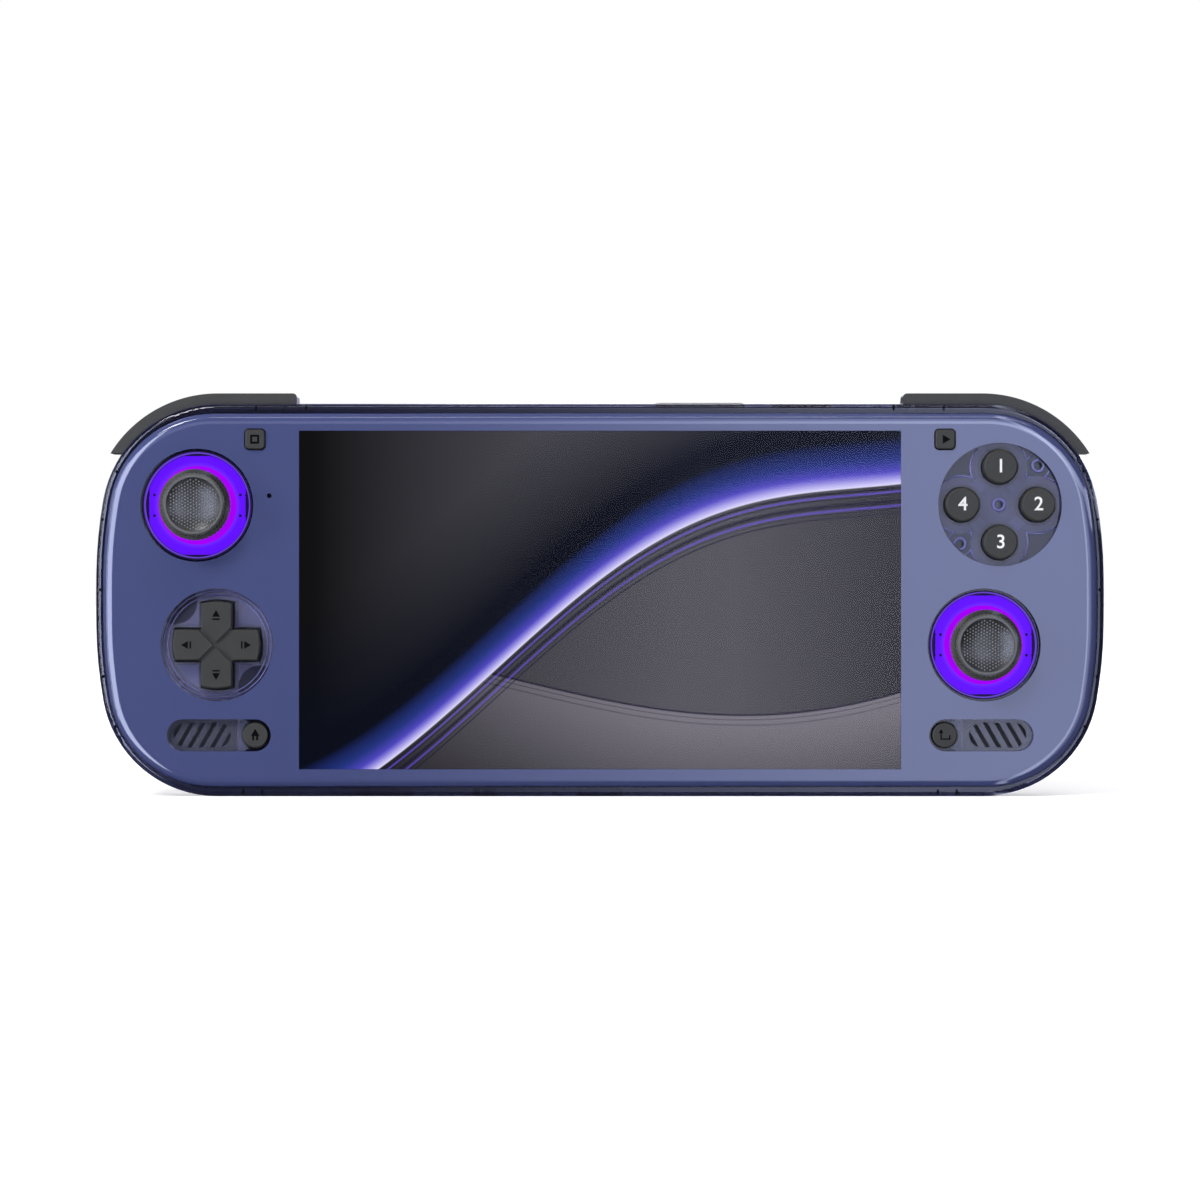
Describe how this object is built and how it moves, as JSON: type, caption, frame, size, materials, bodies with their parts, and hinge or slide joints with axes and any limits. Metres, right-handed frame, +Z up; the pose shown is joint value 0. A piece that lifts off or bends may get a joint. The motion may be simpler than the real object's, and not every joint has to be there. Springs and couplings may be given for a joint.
{
  "type": "handheld game console",
  "caption": "Handheld game console with a glass front over a wide screen, two lit thumb sticks, a direction pad, face buttons, shoulder buttons and triggers in a see-through housing.",
  "frame": {"origin": "middle of the footprint, on the plane that the lower edge stands on", "axes": "+X to the player's right along the screen's width, +Y from the screen to the back, +Z up along the screen's height; the screen faces -Y"},
  "size_m": [0.2044, 0.0278, 0.0822],
  "materials": {
    "front_glass": "gloss, tinted indigo from behind",
    "clear_shell": "gloss, see-through indigo",
    "steel": "satin",
    "display": "gloss",
    "aluminium": "satin",
    "copper": "satin",
    "battery": "matte",
    "circuit_board": "satin",
    "black_plastic": "matte",
    "button_plastic": "satin",
    "shoulder_plastic": "satin",
    "stick_rubber": "matte",
    "mat_rubber": "matte",
    "light_guide": "frosted, lit violet",
    "speaker_mesh": "matte"
  },
  "bodies": {
    "housing": {"front_glass": "front_glass", "front_shell": "clear_shell", "back_shell": "clear_shell", "case_screws": "steel", "board_screws": "steel", "processor_shield": "steel", "left_bumper_pin": "steel", "right_bumper_pin": "steel", "left_trigger_pin": "steel", "right_trigger_pin": "steel", "charging_socket": "steel", "card_holder": "steel", "display_panel": "display", "mid_frame": "aluminium", "heat_spreader": "copper", "battery_pack": "battery", "main_board": "circuit_board", "key_board": "circuit_board", "left_control_board": "circuit_board", "right_control_board": "circuit_board", "left_stick_board": "circuit_board", "right_stick_board": "circuit_board", "headphone_socket": "black_plastic", "push_switches": "black_plastic", "left_speaker": "black_plastic", "right_speaker": "black_plastic", "left_stick_housing": "black_plastic", "right_stick_housing": "black_plastic", "pad_mat": "mat_rubber", "face_mat": "mat_rubber", "left_ring_light": "light_guide", "right_ring_light": "light_guide", "left_speaker_mesh": "speaker_mesh", "right_speaker_mesh": "speaker_mesh"},
    "pad_ball": {"pad_ball": "steel"},
    "pad_key": {"pad_key": "button_plastic"},
    "face_button_1": {"face_button_1": "button_plastic"},
    "face_button_2": {"face_button_2": "button_plastic"},
    "face_button_3": {"face_button_3": "button_plastic"},
    "face_button_4": {"face_button_4": "button_plastic"},
    "select_button": {"select_button": "button_plastic"},
    "start_button": {"start_button": "button_plastic"},
    "home_button": {"home_button": "button_plastic"},
    "back_button": {"back_button": "button_plastic"},
    "volume_key": {"volume_key": "button_plastic"},
    "power_key": {"power_key": "button_plastic"},
    "left_bumper": {"left_bumper": "shoulder_plastic"},
    "right_bumper": {"right_bumper": "shoulder_plastic"},
    "left_trigger": {"left_trigger": "shoulder_plastic"},
    "right_trigger": {"right_trigger": "shoulder_plastic"},
    "left_stick_rocker": {"left_stick_rocker": "black_plastic"},
    "left_stick_yoke": {"left_stick_yoke": "black_plastic"},
    "left_stick": {"left_stick": "stick_rubber"},
    "right_stick_rocker": {"right_stick_rocker": "black_plastic"},
    "right_stick_yoke": {"right_stick_yoke": "black_plastic"},
    "right_stick": {"right_stick": "stick_rubber"}
  },
  "joints": [
    {"name": "left_stick_up_down", "type": "hinge", "parent": "housing", "child": "left_stick_rocker", "pos_m": [-0.08159, -0.001, 0.05898], "axis": [1, 0, 0], "range_deg": [-15, 15], "stiffness_Nm_per_rad": 0.04},
    {"name": "left_stick_left_right", "type": "hinge", "parent": "left_stick_rocker", "child": "left_stick_yoke", "pos_m": [-0.08159, -0.001, 0.05898], "axis": [0, 0, 1], "range_deg": [-15, 15], "stiffness_Nm_per_rad": 0.04},
    {"name": "left_stick_click", "type": "slide", "parent": "left_stick_yoke", "child": "left_stick", "axis": [0, 1, 0], "range_m": [0, 0.0004], "stiffness_N_per_m": 1500, "springref_m": -0.00016},
    {"name": "right_stick_up_down", "type": "hinge", "parent": "housing", "child": "right_stick_rocker", "pos_m": [0.07771, -0.001, 0.0307], "axis": [1, 0, 0], "range_deg": [-15, 15], "stiffness_Nm_per_rad": 0.04},
    {"name": "right_stick_left_right", "type": "hinge", "parent": "right_stick_rocker", "child": "right_stick_yoke", "pos_m": [0.07771, -0.001, 0.0307], "axis": [0, 0, 1], "range_deg": [-15, 15], "stiffness_Nm_per_rad": 0.04},
    {"name": "right_stick_click", "type": "slide", "parent": "right_stick_yoke", "child": "right_stick", "axis": [0, 1, 0], "range_m": [0, 0.0004], "stiffness_N_per_m": 1500, "springref_m": -0.00016},
    {"name": "pad_up_down", "type": "hinge", "parent": "housing", "child": "pad_ball", "pos_m": [-0.0775, -0.0024, 0.03072], "axis": [1, 0, 0], "range_deg": [-4, 4], "stiffness_Nm_per_rad": 0.05, "deforming": ["pad_mat"]},
    {"name": "pad_left_right", "type": "hinge", "parent": "pad_ball", "child": "pad_key", "pos_m": [-0.0775, -0.0024, 0.03072], "axis": [0, 0, 1], "range_deg": [-4, 4], "stiffness_Nm_per_rad": 0.05, "deforming": ["pad_mat"]},
    {"name": "face_button_1_press", "type": "slide", "parent": "housing", "child": "face_button_1", "axis": [0, 1, 0], "range_m": [0, 0.001], "stiffness_N_per_m": 400, "springref_m": -0.0004, "deforming": ["face_mat"]},
    {"name": "face_button_2_press", "type": "slide", "parent": "housing", "child": "face_button_2", "axis": [0, 1, 0], "range_m": [0, 0.001], "stiffness_N_per_m": 400, "springref_m": -0.0004, "deforming": ["face_mat"]},
    {"name": "face_button_3_press", "type": "slide", "parent": "housing", "child": "face_button_3", "axis": [0, 1, 0], "range_m": [0, 0.001], "stiffness_N_per_m": 400, "springref_m": -0.0004, "deforming": ["face_mat"]},
    {"name": "face_button_4_press", "type": "slide", "parent": "housing", "child": "face_button_4", "axis": [0, 1, 0], "range_m": [0, 0.001], "stiffness_N_per_m": 400, "springref_m": -0.0004, "deforming": ["face_mat"]},
    {"name": "select_press", "type": "slide", "parent": "housing", "child": "select_button", "axis": [0, 1, 0], "range_m": [0, 0.00045], "stiffness_N_per_m": 1500, "springref_m": -0.00018},
    {"name": "start_press", "type": "slide", "parent": "housing", "child": "start_button", "axis": [0, 1, 0], "range_m": [0, 0.00045], "stiffness_N_per_m": 1500, "springref_m": -0.00018},
    {"name": "home_press", "type": "slide", "parent": "housing", "child": "home_button", "axis": [0, 1, 0], "range_m": [0, 0.00045], "stiffness_N_per_m": 1500, "springref_m": -0.00018},
    {"name": "back_press", "type": "slide", "parent": "housing", "child": "back_button", "axis": [0, 1, 0], "range_m": [0, 0.00045], "stiffness_N_per_m": 1500, "springref_m": -0.00018},
    {"name": "power_press", "type": "slide", "parent": "housing", "child": "power_key", "axis": [0, 0, -1], "range_m": [0, 0.0003], "stiffness_N_per_m": 1500, "springref_m": -0.00012},
    {"name": "volume_rock", "type": "hinge", "parent": "housing", "child": "volume_key", "pos_m": [0.0204, 0, 0.07409], "axis": [0, 1, 0], "range_deg": [-1.3, 1.3], "stiffness_Nm_per_rad": 0.06},
    {"name": "left_bumper_press", "type": "hinge", "parent": "housing", "child": "left_bumper", "pos_m": [-0.0633, -0.002, 0.07829], "axis": [0, -1, 0], "range_deg": [0, 1.2], "stiffness_Nm_per_rad": 1.2, "springref_deg": -0.46},
    {"name": "right_bumper_press", "type": "hinge", "parent": "housing", "child": "right_bumper", "pos_m": [0.0633, -0.002, 0.07829], "axis": [0, 1, 0], "range_deg": [0, 1.2], "stiffness_Nm_per_rad": 1.2, "springref_deg": -0.46},
    {"name": "left_trigger_pull", "type": "hinge", "parent": "housing", "child": "left_trigger", "pos_m": [-0.0768, 0.0052, 0.07339], "axis": [-1, 0, 0], "range_deg": [0, 12], "stiffness_Nm_per_rad": 0.12, "springref_deg": -8.59},
    {"name": "right_trigger_pull", "type": "hinge", "parent": "housing", "child": "right_trigger", "pos_m": [0.0768, 0.0052, 0.07339], "axis": [-1, 0, 0], "range_deg": [0, 12], "stiffness_Nm_per_rad": 0.12, "springref_deg": -8.59}
  ]
}
